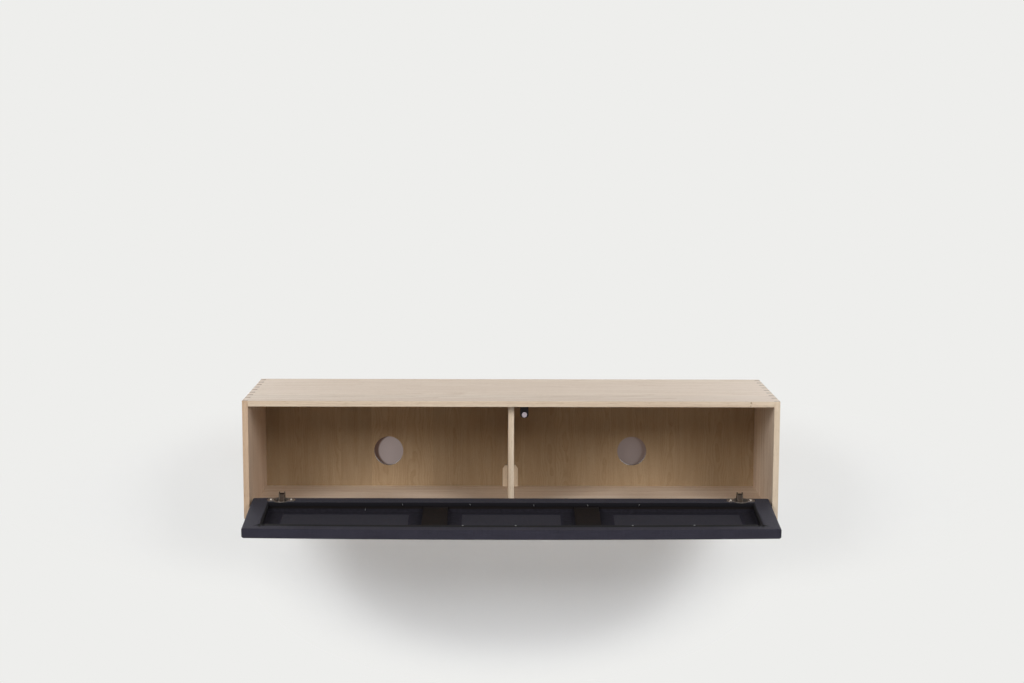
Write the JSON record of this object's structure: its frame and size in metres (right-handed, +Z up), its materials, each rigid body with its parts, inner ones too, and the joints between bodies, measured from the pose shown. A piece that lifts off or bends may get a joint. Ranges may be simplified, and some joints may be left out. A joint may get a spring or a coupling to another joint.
{
  "type": "floating media console",
  "caption": "Wall-hung oak media console with dovetailed corners, a centre divider, rear cable holes and a cloth-covered drop-down flap on concealed hinges.",
  "frame": {"origin": "centre of the wall cleat's back face, on the wall", "axes": "+X along the width to the right seen from the front, +Y into the wall, +Z up; the front faces -Y"},
  "size_m": [1.2, 0.6026, 0.2721],
  "materials": {
    "oak_case": "pale oak, planed and finished with a matt whitened oil",
    "pine_frame": "bare sawn softwood",
    "flap_cloth": "woven dark charcoal speaker cloth, stretched",
    "hinge_nickel": "pressed steel, nickel plated",
    "zinc_steel": "steel, bright zinc plated",
    "latch_black": "black moulded plastic",
    "latch_pale": "pale moulded plastic"
  },
  "bodies": {
    "case": {"top_panel": "oak_case", "bottom_panel": "oak_case", "left_side_panel": "oak_case", "right_side_panel": "oak_case", "centre_divider": "oak_case", "back_panel": "oak_case", "left_divider_block": "oak_case", "right_divider_block": "oak_case", "case_cleat": "pine_frame", "wall_cleat": "pine_frame", "wall_spacer": "pine_frame", "cleat_screw_1": "zinc_steel", "cleat_screw_2": "zinc_steel", "cleat_screw_3": "zinc_steel", "cleat_screw_4": "zinc_steel", "spacer_screw_1": "zinc_steel", "spacer_screw_2": "zinc_steel", "spacer_screw_3": "zinc_steel", "left_hinge_plate": "hinge_nickel", "left_hinge_arm": "hinge_nickel", "left_arm_screw": "hinge_nickel", "left_plate_screw_left": "hinge_nickel", "left_plate_screw_right": "hinge_nickel", "right_hinge_plate": "hinge_nickel", "right_hinge_arm": "hinge_nickel", "right_arm_screw": "hinge_nickel", "right_plate_screw_left": "hinge_nickel", "right_plate_screw_right": "hinge_nickel", "latch_housing": "latch_black", "latch_screw_1": "zinc_steel", "latch_screw_2": "zinc_steel", "latch_spring": "zinc_steel"},
    "flap": {"hinge_rail": "pine_frame", "free_rail": "pine_frame", "left_stile": "pine_frame", "right_stile": "pine_frame", "left_cross_bar": "pine_frame", "right_cross_bar": "pine_frame", "fabric_cover": "flap_cloth", "strike_plate": "zinc_steel", "left_hinge_cup": "hinge_nickel", "left_hinge_pin": "zinc_steel", "left_cup_screw_left": "hinge_nickel", "left_cup_screw_right": "hinge_nickel", "right_hinge_cup": "hinge_nickel", "right_hinge_pin": "zinc_steel", "right_cup_screw_left": "hinge_nickel", "right_cup_screw_right": "hinge_nickel"},
    "latch_plunger": {"plunger_rod": "latch_black", "plunger_tip": "latch_pale"}
  },
  "joints": [
    {"name": "flap_hinge", "type": "hinge", "parent": "case", "child": "flap", "pos_m": [0, -0.386, -0.1367], "axis": [-1, 0, 0], "range_deg": [0, 96.5]},
    {"name": "latch_push", "type": "slide", "parent": "case", "child": "latch_plunger", "axis": [0, 1, 0], "range_m": [0, 0.003], "stiffness_N_per_m": 400, "springref_m": -0.002, "deforming": ["latch_spring"]}
  ]
}
